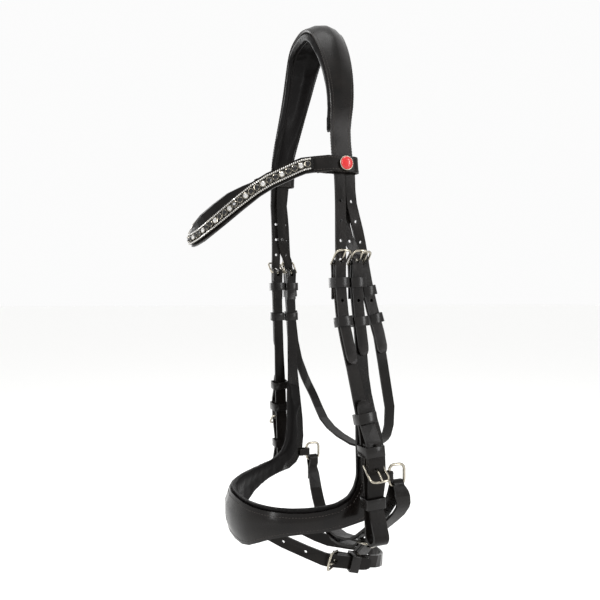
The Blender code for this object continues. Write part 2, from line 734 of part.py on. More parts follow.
# Noseband leather from each buckle to the middle of the nose:
# upper or front edge (out, back, down), lower or back edge (out, back, down), bulge
NOSE_ARM = {
    NEAR: (((92.8, -9.4, 293), (92.8, 2.2, 293), 0), ((94.6, -7.2, 323), (94.6, 4.4, 323), 0),
           ((95.8, -6, 348), (95.8, 5.8, 348), 0), ((96.2, -5, 368), (96.2, 7.2, 368), 0),
           ((96.6, -3.8, 382), (96.8, 9.4, 384), 0), ((97, -3.2, 398), (97.4, 13.5, 403), 0.4),
           ((97.2, -3, 414), (97.8, 19.5, 424), 0.8), ((97.4, -3.4, 432), (98, 23.5, 446), 1),
           ((97.4, -3.8, 450), (98, 24.5, 468), 1), ((97.4, -4.5, 466), (98, 21.5, 488), 1),
           ((97.4, -7.6, 477), (97.6, 13, 501), 1.2), ((97.2, -14, 486), (97, 0, 508), 1.6),
           ((96.6, -27, 492), (96.2, -22, 512), 2.2), ((94.5, -42, 494.5), (93.6, -42, 514), 2.8),
           ((90, -57, 496), (88.4, -58, 515), 3.2), ((83, -71, 496.5), (80, -74, 518), 3.6),
           ((74, -83, 496.5), (70, -85, 522.5), 4), ((64, -92, 496.5), (58.5, -93, 529), 4.4),
           ((52, -98.5, 496.5), (47, -99.5, 535), 4.6), ((38, -102.5, 496.5), (35, -103, 538), 4.8),
           ((20, -104.6, 496.5), (18, -105.4, 538.5), 5), ((0, -105, 496.5), (0, -106, 538), 5)),
    FAR: (((92.8, -9.4, 293), (92.8, 2.2, 293), 0), ((94.6, -7.2, 323), (94.6, 4.4, 323), 0),
          ((95.8, -6, 348), (95.8, 5.8, 348), 0), ((96.2, -5.4, 368), (96.2, 6.6, 368), 0),
          ((96.6, -4.8, 382), (96.8, 8, 384), 0), ((97, -4.6, 398), (97.4, 10.5, 403), 0.4),
          ((97.2, -4.6, 414), (97.8, 13.5, 424), 0.8), ((97.4, -5, 432), (98, 16, 446), 1),
          ((97.4, -5.6, 450), (98, 17, 468), 1), ((97.4, -6.5, 466), (98, 15, 488), 1),
          ((97.2, -9, 477), (97.4, 7, 501), 1.2), ((96.4, -14, 486), (96.4, -3, 508), 1.4),
          ((94.6, -21.5, 491), (94.2, -17, 511), 1.8), ((90.8, -30, 494.5), (89.6, -29, 513), 2.2),
          ((84.5, -41, 496), (82.4, -42, 515), 2.6), ((77, -52, 496.5), (74, -54, 518), 3),
          ((69, -63, 496.5), (65.5, -65, 522), 3.4), ((60, -73.5, 496.5), (56.5, -75, 528), 3.8),
          ((49, -84, 496.5), (46, -85.5, 533), 4.2), ((36, -93.5, 496.5), (34, -94.8, 536.5), 4.6),
          ((19, -101.5, 496.5), (18, -102.4, 538), 4.9)),
}
LINED = 5                   # first section with padding behind it


def nose_sections():
    """(upper edge, lower edge, outward, bulge) of the whole noseband, near to far."""
    whole = [(on_side(sign, *upper), on_side(sign, *lower), bulge * MM)
             for sign in (NEAR, FAR) for upper, lower, bulge in NOSE_ARM[sign][::sign]]
    rows = []
    for i, (upper, lower, bulge) in enumerate(whole):
        ahead = (sum(whole[min(i + 1, len(whole) - 1)][:2], Vector()) - sum(whole[max(i - 1, 0)][:2], Vector()))
        outward = ahead.cross(lower - upper).normalized()
        rows.append((upper, lower, outward, bulge))
    return rows


def arch(row, shares, lift=0.0):
    """Points across a noseband section, on its bulged face plus a lift."""
    upper, lower, outward, bulge = row
    return [upper.lerp(lower, k) + outward * (lift + bulge * (1 - (2 * k - 1) ** 2)) for k in shares]


def make_noseband():
    """Outer leather, from one buckle down, round the nose and up to the other buckle."""
    shares = (0, 0.33, 0.67, 1)
    rows = [arch(row, shares) for row in nose_sections()]
    ends = []
    slots = []
    for sign in (NEAR, FAR):
        bar = on_side(sign, BAR_OUT, NOSE_BACK, BAR_DOWN)
        line = upper_end("noseband", sign, bar, UP, NOSE_STRAP_WIDTH)
        kept = stations([(p, BACK, NOSE_STRAP_WIDTH) for p in line])
        ends.append([[p + side * width * (k - 0.5) for k in shares] for p, side, width, _ in kept])
        slots.append((bar, UP, BACK, Vector((sign, 0, 0))))
        route = [(p, BACK, 1) for p in line[-2:]]
        route += [((on_side(sign, *a) + on_side(sign, *b)) / 2, BACK, 1) for a, b, _ in NOSE_ARM[sign][:4]]
        keepers("noseband", sign, bar, route, NOSE_STRAP_WIDTH, (276, 314))
    rows = ends[0] + rows + ends[1][::-1]
    piece = sheet("noseband", rows, NOSE_LEATHER, strap_leather)
    for slot, name in zip(slots, ("near", "far")):
        slot_cut(piece, f"noseband_slot_{name}", *slot)


def make_lining():
    """Soft padding behind the noseband leather, rolled out above its upper edge."""
    top = -NOSE_LEATHER / 2 - GAP
    rows = nose_sections()[LINED:-LINED]
    sections = []
    for i, row in enumerate(rows):
        upper, lower, outward, bulge = row
        inset = 0.0105 if 2 <= i <= 4 or 2 <= len(rows) - 1 - i <= 6 else 0.001
        across = (lower - upper).normalized()
        span = (lower - upper).length
        ease = 0.45 if i in (0, len(rows) - 1) else 1
        deep = top - NOSE_PAD_THICKNESS * ease
        roll = NOSE_ROLL * ease
        face = arch(row, (0, 0.33, 0.67, 1 - inset / span), top - 0.0003)
        under = arch((upper, lower, outward, bulge * 0.5), (0.95 - inset / span, 0.65, 0.35, 0.04), deep)
        lip = [upper - across * roll * 0.8 + outward * (deep * 0.75), upper - across * roll + outward * top * 2,
               upper - across * roll * 0.75 + outward * (-top * 0.2), upper - across * 0.0005 + outward * (-top * 0.2)]
        lip[3] = upper - across * 0.0011 + outward * top * 0.4
        heel = [lower - across * (inset - 0.0012) + outward * (top + deep) / 2]
        sections.append(face + heel + under + lip)
    return loft("noseband_lining", sections, lining_leather)


make_noseband()
make_lining()


# ---------------------------------------------------------------- noseband rings and their tabs

EYE = RING_WIRE / 2 + LOOSE + TAB_THICKNESS / 2
RING_SPOT = {NEAR: (97.8, 29, 467), FAR: (97.8, 21.5, 489)}


def make_ring(sign):
    """Steel loop and the leather tab that holds it to the back of the noseband."""
    name = side_of(sign)
    hinge = on_side(sign, *RING_SPOT[sign])
    outward = Vector((sign, 0, 0))
    shape = rounded(RING_HEIGHT, RING_LENGTH, 0.005, 4)
    loop = tube(f"ring_{name}", [UP * x + BACK * (y + RING_LENGTH / 2) for x, y in shape], RING_WIRE, steel, True)
    loop.location = hinge
    away = NOSE_LEATHER / 2 + GAP + TAB_THICKNESS / 2
    away = max(away, EYE) + 0.0012
    line = [hinge - BACK * 0.019 + outward * away, hinge - BACK * 0.010 + outward * away,
            hinge - BACK * 0.003 + outward * (away + EYE) / 2]
    for k in range(7):
        angle = math.radians(90 - 30 * k)
        line.append(hinge + outward * EYE * math.sin(angle) + BACK * EYE * math.cos(angle))
    line.append(hinge - BACK * 0.003 - outward * (away + EYE) / 2)
    line.append(hinge - BACK * 0.011 - outward * away)
    strap(f"ring_tab_{name}", [(p, UP, TAB_WIDTH) for p in line], TAB_THICKNESS, strap_leather)


for sign in (NEAR, FAR):
    make_ring(sign)


# ---------------------------------------------------------------- browband

# Middles of the browband in front of its loops, near to far: out, back, down
BROWBAND = ((90.5, -60, 166), (84, -77, 174), (76, -96, 184), (67, -111.5, 197), (55, -124, 209),
            (40, -135, 220), (21, -142.5, 228), (0, -146.5, 230.5), (-20, -141, 224), (-37, -131, 210),
            (-52, -112, 193), (-65, -88, 174), (-76, -64, 161), (-84, -46, 152))
LOOPS = {NEAR: (91.2, 162, -32, -11.6, 0.17), FAR: (89.9, 143, -30, -7.6, 0.13)}
LOOP_FALL = {NEAR: 0.16, FAR: 0.42}                  # how fast each loop runs down towards the band


def browband_loop(sign):
    """The loop round the headpiece: (place, across) from its sewn end to the band."""
    out, down, front, back, slope = LOOPS[sign]
    across = Vector((-sign * slope, 0, 1)).normalized()
    outward = Vector((sign, 0, 0))
    middle = on_side(sign, out, back + 1.2, down, 0)
    stack = (CROWN_THICKNESS + GAP + HEADSTRAP_THICKNESS) / 2
    r = stack + 0.0020 + BROWBAND_THICKNESS / 2
    start = on_side(sign, out, front, down, 0)
    lap = BROWBAND_THICKNESS + GAP
    ahead = BACK + UP * LOOP_FALL[sign]
    line = [start - ahead * 0.0165 + outward * (r * 0.76 - lap), start - ahead * 0.0120 + outward * (r * 0.82 - lap * 1.05),
            start - ahead * 0.0075 - outward * r * 0.3,
            start - ahead * 0.0025 - outward * r * 0.92, start + BACK * 0.004 - outward * r, middle - outward * r]
    for k in range(1, 7):
        angle = math.radians(-90 + 180 / 7 * k)
        line.append(middle + outward * r * math.sin(angle) + BACK * r * math.cos(angle))
    line += [middle + outward * r, start + BACK * 0.003 + outward * r, start - ahead * 0.008 + outward * r,
             start - ahead * 0.0185 + outward * r * 0.76]
    return [(p, across) for p in line]


def make_browband():
    """Browband, with a strip of crystals on its front and a red button on each loop."""
    near, far = browband_loop(NEAR), browband_loop(FAR)
    front = [(spot(*place), UP) for place in BROWBAND]
    path = stations([(p, across, BROWBAND_WIDTH) for p, across in near + front + far[::-1]])
    sheet("browband", [[p - side * w / 2, p + side * w / 2] for p, side, w, _ in path],
          BROWBAND_THICKNESS, strap_leather)
    lift = BROWBAND_THICKNESS / 2 + 2 * GAP + CRYSTAL_THICKNESS / 2
    raised = []
    for p, side, _, ahead in path:
        if p.y < CRYSTAL_START:
            middle = p + side.cross(ahead) * lift
            raised.append([middle - side * CRYSTAL_WIDTH / 2, middle + side * CRYSTAL_WIDTH / 2])
    sheet("browband_crystals", raised, CRYSTAL_THICKNESS, crystal)
    for sign, line in ((NEAR, near), (FAR, far)):
        outward = Vector((sign, 0, 0))
        foot = (line[-3][0] + line[-4][0]) / 2 + outward * (BROWBAND_THICKNESS / 2 + GAP + 0.0013)
        button(f"browband_button_{side_of(sign)}", foot, outward)


def button(name, foot, outward):
    """A low domed disc."""
    outline = ((0, 0), (BUTTON_RADIUS, 0), (BUTTON_RADIUS, 0.0018), (BUTTON_RADIUS * 0.8, BUTTON_HEIGHT * 0.86),
               (BUTTON_RADIUS * 0.4, BUTTON_HEIGHT), (0, BUTTON_HEIGHT * 1.02))
    disc = bmesh.new()
    corners = [disc.verts.new((radius, 0, height)) for radius, height in outline]
    edges = [disc.edges.new(pair) for pair in zip(corners, corners[1:])]
    bmesh.ops.spin(disc, geom=corners + edges, cent=(0, 0, 0), axis=(0, 0, 1), angle=math.tau, steps=20,
                   use_duplicate=False)
    bmesh.ops.remove_doubles(disc, verts=disc.verts, dist=1e-6)
    bmesh.ops.recalc_face_normals(disc, faces=disc.faces)
    mesh = bpy.data.meshes.new(name)
    disc.to_mesh(mesh)
    disc.free()
    piece = add_mesh(name, mesh, enamel)
    piece.matrix_world = Matrix.Translation(foot) @ outward.to_track_quat("Z", "X").to_matrix().to_4x4()


make_browband()


# ---------------------------------------------------------------- jaw strap

RING_FOLD = RING_WIRE / 2 + LOOSE + 0.0010 + STRAP_THICKNESS / 2
JAW_BAR = (44, 31, 553)
JAW_STRAP = ((-93, 29.8, 519), (-85, 29.6, 535), (-68, 27.5, 551), (-40, 23.5, 562), (0, 21.5, 567), (28, 27, 563))
# Middles of the billet from where it is sewn inside the jaw strap, through the near ring and back
JAW_BILLET = ((-22, 21.6, 561), (4, 23, 560.6), (26, 27.6, 556), (46, 31.5, 542), (64, 33.6, 526), (81, 36, 507),
              (91.4, 37, 491))
JAW_RETURN = ((103.4, 40, 485), (97.6, 45, 499), (85, 43, 515), (70.5, 37, 528))


def make_jaw_strap():
    """The strap from the far ring under the jaw, and the billet through the near ring to its buckle."""
    low = RING_HEIGHT / 2
    far_bar = on_side(FAR, *RING_SPOT[FAR]) + BACK * RING_LENGTH / 2 - UP * low
    near_bar = on_side(NEAR, *RING_SPOT[NEAR]) + BACK * RING_LENGTH / 2 - UP * low
    hook = [(p, BACK, JAW_WIDTH - 0.004) for p in chape(far_bar, UP, Vector((1, 0, 0)), 0.026, RING_FOLD)]
    body = [(spot(*place), BACK, JAW_WIDTH) for place in JAW_STRAP]
    bar = spot(*JAW_BAR)
    up = Vector((0.66, 0.07, 0.75)).normalized()
    outward = Vector((0.75, 0, -0.66))
    outward = (outward - up * outward.dot(up)).normalized()
    side = outward.cross(up)
    if side.y < 0:
        side = -side
    turned = [(p, side, JAW_WIDTH) for p in chape(bar, up, -outward, 0.022)]
    piece = strap("jaw_strap", hook + body + turned[::-1], STRAP_THICKNESS, strap_leather)
    slot_cut(piece, "jaw_slot", bar, up, side, outward)
    buckle("jaw", "", bar, up, side, outward, JAW_WIDTH, math.radians(35))
    billet = [(spot(*place), BACK, JAW_WIDTH) for place in JAW_BILLET]
    for k in range(7):
        angle = math.radians(180 - 30 * k)
        billet.append((near_bar + Vector((math.cos(angle), 0, math.sin(angle))) * RING_FOLD, BACK, JAW_WIDTH - 0.004))
    billet += [(spot(*place), BACK, JAW_WIDTH) for place in JAW_RETURN]
    over = bar + outward * OVER_BAR
    billet += [(over + up * 0.004, side, JAW_WIDTH - 0.001), (over - up * 0.008, side, JAW_WIDTH - 0.001),
               (over - up * 0.022 - outward * 0.001, side, JAW_WIDTH - 0.001),
               (over - up * 0.034 + outward * 0.001, side, JAW_WIDTH - 0.001)]
    piece = strap("jaw_billet", billet, STRAP_THICKNESS, strap_leather, tip=True)
    rise = hole_rise()
    cut(piece, "jaw_holes", [(over + up * rise, outward, HOLE_RADIUS), (over - up * 0.020, outward, SPARE_RADIUS)])


make_jaw_strap()


# ---------------------------------------------------------------- flash strap

FLASH_BAR = (64, -14, 556)


def make_flash():
    """Strap held in a loop below the front of the noseband and buckled round on the near side."""
    bar = spot(*FLASH_BAR)
    up = Vector((-0.10, -0.96, 0.25)).normalized()
    outward = Vector((0.99, -0.10, 0))
    outward = (outward - up * outward.dot(up)).normalized()
    side = outward.cross(up).normalized()
    if side.z < 0:
        side = -side
    tilt = Vector((0.1, 0, 1)).normalized()
    turned = [(p, side, FLASH_WIDTH) for p in chape(bar, up, outward, 0.024)]
    back = [((66.4, 10, 562), tilt), ((61, 28, 567.5), tilt), ((51, 45, 573), tilt), ((34, 56, 578), tilt),
            ((14, 57, 579), tilt), ((-10, 46, 580), UP), ((-28, 18, 577), UP), ((-40, -12, 562), UP),
            ((-41, -42, 546), UP), ((-33, -66, 535), UP), ((-16, -82, 528.5), UP), ((3, -86.5, 527), UP),
            ((22, -80, 531.5), UP), ((40, -65, 538.5), UP), ((56, -45, 546.5), UP)]
    points = turned + [(spot(*place), across, FLASH_WIDTH) for place, across in back]
    over = bar + outward * OVER_BAR
    points += [(over + up * 0.014, side, FLASH_WIDTH), (over, side, FLASH_WIDTH),
               (over - up * 0.016 - outward * 0.0010, side, FLASH_WIDTH),
               (over - up * 0.040 - outward * 0.0055, side, FLASH_WIDTH)]
    piece = strap("flash_strap", points, STRAP_THICKNESS, strap_leather, tip=True)
    slot_cut(piece, "flash_slot", bar, up, side, outward)
    buckle("flash", "", bar, up, side, outward, FLASH_WIDTH)
    rise = hole_rise()
    holes = [(over + up * rise, outward, HOLE_RADIUS)]
    line = stations(points)
    at = min(range(len(line) // 2, len(line)), key=lambda i: (line[i][0] - over).length)
    walked = 0.0
    while len(holes) < 4:
        walked += (line[at][0] - line[at - 1][0]).length
        at -= 1
        if walked > HOLE_PITCH * len(holes):
            holes.append((line[at][0], line[at][1].cross(line[at][3]), SPARE_RADIUS))
    cut(piece, "flash_holes", holes)
    place = bar - up * 0.019
    keeper("flash_keeper", place, up, side, STRAP_THICKNESS / 2 + LAYER / 2 + GAP,
           STRAP_THICKNESS / 2 + OVER_BAR, FLASH_WIDTH + 0.0004)


make_flash()
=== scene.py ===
"""Snaffle bridle in black leather, with steel buckles, a stone-set browband and a padded noseband."""
import json
import math

import bmesh
import bpy
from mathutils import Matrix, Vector
from mathutils.bvhtree import BVHTree


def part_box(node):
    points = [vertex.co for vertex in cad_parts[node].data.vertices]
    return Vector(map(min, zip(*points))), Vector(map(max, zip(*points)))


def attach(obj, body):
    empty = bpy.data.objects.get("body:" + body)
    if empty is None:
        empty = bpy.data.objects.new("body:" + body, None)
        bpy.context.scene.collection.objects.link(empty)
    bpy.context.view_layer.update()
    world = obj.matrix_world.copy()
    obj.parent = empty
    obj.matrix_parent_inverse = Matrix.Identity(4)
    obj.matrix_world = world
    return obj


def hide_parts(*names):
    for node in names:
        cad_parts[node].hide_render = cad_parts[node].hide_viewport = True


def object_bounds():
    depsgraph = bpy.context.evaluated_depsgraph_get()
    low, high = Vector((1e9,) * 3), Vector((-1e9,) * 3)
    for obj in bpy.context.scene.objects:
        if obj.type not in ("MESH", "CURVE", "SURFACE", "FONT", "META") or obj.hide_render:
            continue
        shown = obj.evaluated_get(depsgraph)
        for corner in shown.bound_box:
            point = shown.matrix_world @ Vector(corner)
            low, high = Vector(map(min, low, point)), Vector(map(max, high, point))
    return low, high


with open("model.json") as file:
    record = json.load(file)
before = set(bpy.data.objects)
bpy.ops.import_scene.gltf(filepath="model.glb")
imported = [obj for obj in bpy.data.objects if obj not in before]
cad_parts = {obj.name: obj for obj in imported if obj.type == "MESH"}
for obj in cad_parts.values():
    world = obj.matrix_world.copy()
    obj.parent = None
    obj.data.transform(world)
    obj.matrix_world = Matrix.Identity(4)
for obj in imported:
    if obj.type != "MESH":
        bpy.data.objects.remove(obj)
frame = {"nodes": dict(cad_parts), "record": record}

cad_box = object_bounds()
nodes = frame["nodes"]
body_of = {node: body for body, names in frame["record"]["behaviour"]["bodies"].items() for node in names}
MM = 0.001


# ---------------------------------------------------------------- studio
# The bridle hangs level with the camera, over a pale floor, with a softbox each side and
# one above. A long highlight runs down every strap from the boxes.

TURN = math.radians(68)             # the camera stands ahead of the near side
CAMERA_PLACE = Vector((0.6027, -0.2705, -0.293))
LENS = 35.1
FLOOR_DROP = 0.10                   # below the lowest strap
FLOOR_REACH = 40                    # each way, so that no edge shows


def linear(colour):
    """An sRGB hex colour as linear RGBA."""
    values = [int(colour[i:i + 2], 16) / 255 for i in (1, 3, 5)]
    return (*[v / 12.92 if v <= 0.04045 else ((v + 0.055) / 1.055) ** 2.4 for v in values], 1)


def add_node(tree, kind, settings=None, links=None):
    """A shader node with its settings, and what is linked into it."""
    node = tree.nodes.new("ShaderNode" + kind)
    for name, value in (settings or {}).items():
        if isinstance(name, str) and hasattr(node, name):
            setattr(node, name, value)
        else:
            node.inputs[name].default_value = value
    for socket, source in (links or {}).items():
        tree.links.new(source, node.inputs[socket])
    return node


def start_material(name):
    """An empty material with its node tree and its surface coordinates."""
    material = bpy.data.materials.new(name)
    material.use_nodes = True
    tree = material.node_tree
    tree.nodes.clear()
    return material, tree, add_node(tree, "TexCoord").outputs["Object"]


def add_light(name, place, size, power, target):
    """A softbox of a width and height in metres, turned towards its target."""
    light = bpy.data.lights.new(name, "AREA")
    light.shape = "RECTANGLE"
    light.size, light.size_y = size
    light.energy = power
    holder = bpy.data.objects.new(name, light)
    holder.location = place
    holder.rotation_euler = (Vector(target) - Vector(place)).to_track_quat("-Z", "Y").to_euler()
    bpy.context.scene.collection.objects.link(holder)


camera = bpy.data.objects.new("camera", bpy.data.cameras.new("camera"))
camera.data.lens = LENS
camera.data.sensor_width = 36
camera.location = CAMERA_PLACE
camera.rotation_euler = (math.radians(90), 0, TURN)
bpy.context.scene.collection.objects.link(camera)
bpy.context.scene.camera = camera

MIDDLE = (0, -0.03, -0.30)          # of the bridle, where the softboxes point
add_light("softbox_front", (0.55, -1.25, 0.25), (0.16, 1.5), 10, MIDDLE)
add_light("softbox_near", (1.15, 0.75, 0.15), (0.14, 1.4), 7, MIDDLE)
add_light("softbox_above", (0.1, -0.1, 1.1), (0.6, 0.6), 5, MIDDLE)
add_light("softbox_far", (-1.2, -0.2, 0.2), (0.4, 1.4), 4, MIDDLE)

world = bpy.data.worlds.new("studio")
world.use_nodes = True
world.node_tree.nodes["Background"].inputs["Color"].default_value = (1, 1, 1, 1)
world.node_tree.nodes["Background"].inputs["Strength"].default_value = 0.97
bpy.context.scene.world = world
bpy.context.scene.view_settings.view_transform = "Standard"

paper, tree, _ = start_material("white_seamless_paper")
shader = add_node(tree, "BsdfPrincipled", {"Base Color": linear("#fdfdfc"), "Roughness": 0.9,
                                           "Specular IOR Level": 0.1})
add_node(tree, "OutputMaterial", links={"Surface": shader.outputs[0]})
floor_height = cad_box[0][2] - FLOOR_DROP
floor_mesh = bpy.data.meshes.new("floor")
floor_mesh.from_pydata([(x * FLOOR_REACH, y * FLOOR_REACH, floor_height)
                        for x, y in ((-1, -1), (1, -1), (1, 1), (-1, 1))], [], [(0, 1, 2, 3)])
floor = bpy.data.objects.new("floor", floor_mesh)
floor.data.materials.append(paper)
bpy.context.scene.collection.objects.link(floor)


# ---------------------------------------------------------------- strap leather
# English bridle leather, vegetable tanned, dyed black through and waxed. It is smooth with a
# very fine grain, and its cut edges are rounded, dyed and burnished to a shine.

CLOUD = 22 * MM                     # patches where the dye took deeper
WAX_PATCH = 6 * MM
CREASE = 7 * MM                     # soft creases from handling


def leather(name, dark, light, roughness, grain, depth, coat, edge="#1d1b1a", edge_roughness=0.2):
    """Dyed leather: cloudy colour, waxed patches, burnished edges, and a pebbled grain.

    grain is the size of a pebble and depth the height of the relief, both in mm.
    """
    material, tree, place = start_material(name)
    clouds = add_node(tree, "TexNoise", {"Scale": 1 / CLOUD, "Detail": 5.0, "Roughness": 0.6},
                      {"Vector": place})
    tone = add_node(tree, "MapRange", {"From Min": 0.3, "From Max": 0.7}, {"Value": clouds.outputs["Fac"]})
    body = add_node(tree, "Mix", {"data_type": "RGBA", 6: linear(dark), 7: linear(light)},
                    {0: tone.outputs[0]})
    shape = add_node(tree, "NewGeometry")
    worn = add_node(tree, "MapRange", {"From Min": 0.52, "From Max": 0.60},
                    {"Value": shape.outputs["Pointiness"]})
    colour = add_node(tree, "Mix", {"data_type": "RGBA", 7: linear(edge)},
                      {0: worn.outputs[0], 6: body.outputs[2]})
    wax = add_node(tree, "TexNoise", {"Scale": 1 / WAX_PATCH, "Detail": 6.0, "Roughness": 0.7},
                   {"Vector": place})
    waxed = add_node(tree, "MapRange", {"From Min": 0.3, "From Max": 0.7, "To Min": roughness - 0.07,
                                        "To Max": roughness + 0.09}, {"Value": wax.outputs["Fac"]})
    gloss = add_node(tree, "Mix", {"data_type": "FLOAT", 3: edge_roughness},
                     {0: worn.outputs[0], 2: waxed.outputs[0]})
    pebbles = add_node(tree, "TexVoronoi", {"feature": "SMOOTH_F1", "Scale": 1 / (grain * MM),
                                            "Smoothness": 0.6}, {"Vector": place})
    pores = add_node(tree, "TexNoise", {"Scale": 1 / (grain * 0.45 * MM), "Detail": 3.0}, {"Vector": place})
    creases = add_node(tree, "TexNoise", {"Scale": 1 / CREASE, "Detail": 4.0, "Distortion": 1.2},
                       {"Vector": place})
    fine = add_node(tree, "Math", {"operation": "MULTIPLY_ADD", 1: 0.45},
                    {0: pores.outputs["Fac"], 2: pebbles.outputs["Distance"]})
    height = add_node(tree, "Math", {"operation": "MULTIPLY_ADD", 1: 3.2},
                      {0: creases.outputs["Fac"], 2: fine.outputs[0]})
    bump = add_node(tree, "Bump", {"Strength": 0.55, "Distance": depth * MM}, {"Height": height.outputs[0]})
    shader = add_node(tree, "BsdfPrincipled", {"IOR": 1.48, "Coat Weight": coat, "Coat Roughness": 0.16,
                                               "Specular IOR Level": 0.085},
                      {"Base Color": colour.outputs[2], "Roughness": gloss.outputs[0],
                       "Normal": bump.outputs[0]})
    add_node(tree, "OutputMaterial", links={"Surface": shader.outputs[0]})
    return material


# Waxed straps have a low, broad sheen. Burnishing closes the grain of the keepers, and glazing
# that of the noseband, so both mirror the lights more sharply. The lining is soft and dull.
strap_leather = leather("waxed_black_bridle_leather", "#080706", "#14110f", 0.31, 0.55, 0.06, 0.08)
keeper_leather = leather("burnished_black_keeper_leather", "#060605", "#0e0d0c", 0.2, 0.5, 0.04, 0.3)
nose_leather = leather("glazed_black_cowhide", "#060505", "#100d0b", 0.23, 0.6, 0.05, 0.2)
lining_leather = leather("soft_black_lining_leather", "#060505", "#0d0b0b", 0.42, 0.8, 0.10, 0.02,
                         "#100e0d", 0.4)

CUT_EDGE = 0.55 * MM                # rounding of a burnished edge


def join_corners(node):
    """A node's mesh for editing, with its doubled corners joined."""
    skin = bmesh.new()
    skin.from_mesh(nodes[node].data)
    bmesh.ops.remove_doubles(skin, verts=skin.verts, dist=1e-6)
    return skin


def own_mesh(node, name):
    """A CAD node's mesh in a new object, with its doubled corners joined."""
    mesh = nodes[node].data.copy()
    mesh.materials.clear()
    skin = join_corners(node)
    bmesh.ops.dissolve_degenerate(skin, dist=1e-6, edges=skin.edges)
    skin.to_mesh(mesh)
    skin.free()
    piece = bpy.data.objects.new(name, mesh)
    bpy.context.scene.collection.objects.link(piece)
    return piece


def dress(node, material, rounding=CUT_EDGE, smooth=38):
    """The node's shape with rounded edges and its finish, moving as the node does."""
    piece = own_mesh(node, node + "_finished")
    piece.data.materials.append(material)
    if rounding:
        bevel = piece.modifiers.new("burnished", "BEVEL")
        bevel.width = rounding
        bevel.segments = 3
        bevel.limit_method = "ANGLE"
        bevel.angle_limit = math.radians(50)
    piece.data.shade_smooth()
    piece.data.set_sharp_from_angle(angle=math.radians(smooth))
    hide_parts(node)
    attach(piece, body_of[node])


for node in ("headpiece", "noseband_headstrap", "cheekpiece_near", "cheekpiece_far", "throatlash",
             "jaw_strap", "jaw_billet", "flash_strap", "ring_tab_near", "ring_tab_far",
             "bit_chape_near", "bit_chape_far", "browband"):
    dress(node, strap_leather)
dress("noseband", nose_leather, 0.8 * MM)


# ---------------------------------------------------------------- keepers and runners
# Narrow loops of the same hide, pressed round a loop iron while damp and burnished harder
# than the straps, so they shine. One of each pair is sewn down and the other slides.

for node in nodes:
    if "keeper" in node or "runner" in node:
        dress(node, keeper_leather, 0.6 * MM, 60)


# ---------------------------------------------------------------- stitching
# Waxed black linen thread, about three stitches to the centimetre, in a row beside the edges of
# the padded noseband, the crown and the browband, and round the sewn ends at each buckle.

STITCH_PITCH = 3.1 * MM
STITCH = Vector((2.3, 0.75, 0.42)) * MM     # length, width and height, drawn a little bold to show
EDGE_ANGLE = math.radians(50)       # sharper than this is a cut edge
SHORTEST_SEAM = 22 * MM
SAME_RUN = 0.6                      # cosine; an edge that turns more than this starts a new seam


def make_thread():
    """Waxed thread: two twisted plies in relief, lighter on the ridges and darker in the grooves as painted
    highlight and shade.
    """
    material, tree, place = start_material("waxed_linen_thread")
    twist = add_node(tree, "TexWave", {"Scale": 1 / (2.2 * MM), "Distortion": 0.6}, {"Vector": place})
    bump = add_node(tree, "Bump", {"Strength": 0.5, "Distance": 0.05 * MM},
                    {"Height": twist.outputs["Fac"]})
    # Painted highlight and shade: the colour follows the twist relief, lighter on the ridges and darker in
    # the grooves.
    colour = add_node(tree, "Mix", {"data_type": "RGBA", 6: linear("#171412"), 7: linear("#3a3531")},
                      {0: twist.outputs["Fac"]})
    shader = add_node(tree, "BsdfPrincipled", {"Roughness": 0.5, "Specular IOR Level": 0.2},
                      {"Base Color": colour.outputs[2], "Normal": bump.outputs[0]})
    add_node(tree, "OutputMaterial", links={"Surface": shader.outputs[0]})
    return material


thread = make_thread()


def stitches(node, inset, kept=lambda place: True, skip=0.0):
    """Rows of thread a distance inside the cut edges of a node, on its wide faces only.

    kept says which places on the edges have stitches, and skip leaves the ends of a row bare.
    """
    skin = join_corners(node)
    skin.normal_update()
    surface = BVHTree.FromBMesh(skin)
    sharp = {edge for edge in skin.edges
             if len(edge.link_faces) == 2 and edge.calc_face_angle(0) > EDGE_ANGLE}
    beads = []
    while sharp:
        edge = next(e for e in skin.edges if e in sharp)
        sharp.discard(edge)
        run = [edge.verts[0], edge.verts[1]]
        edges = [edge]
        for end in (1, 0):
            while True:
                tip, before = (run[-1], run[-2]) if end else (run[0], run[1])
                ahead = (tip.co - before.co).normalized()
                nexts = [e for e in tip.link_edges if e in sharp
                         and (e.other_vert(tip).co - tip.co).normalized().dot(ahead) > SAME_RUN]
                if not nexts:
                    break
                sharp.discard(nexts[0])
                other = nexts[0].other_vert(tip)
                if end:
                    run.append(other)
                    edges.append(nexts[0])
                else:
                    run.insert(0, other)
                    edges.insert(0, nexts[0])
        length = sum(e.calc_length() for e in edges)
        if length < SHORTEST_SEAM:
            continue
        walked, due = 0.0, STITCH_PITCH * 0.5 + skip
        for i, edge in enumerate(edges):
            a, b = run[i].co, run[i + 1].co
            span = (b - a).length
            while due <= walked + span and due < length - skip:
                p = a.lerp(b, (due - walked) / span)
                due += STITCH_PITCH
                if not kept(p):
                    continue
                along = (b - a).normalized()
                for face in edge.link_faces:
                    inward = face.normal.cross(along)
                    if inward.dot(face.calc_center_median() - p) < 0:
                        inward.negate()
                    start = p + inward * inset + face.normal * 1.2 * MM
                    hit, normal, _, _ = surface.ray_cast(start, -face.normal, 2.4 * MM)
                    if hit and normal.dot(face.normal) > 0.7:
                        beads.append((hit, along, normal))
            walked += span
    skin.free()
    return beads


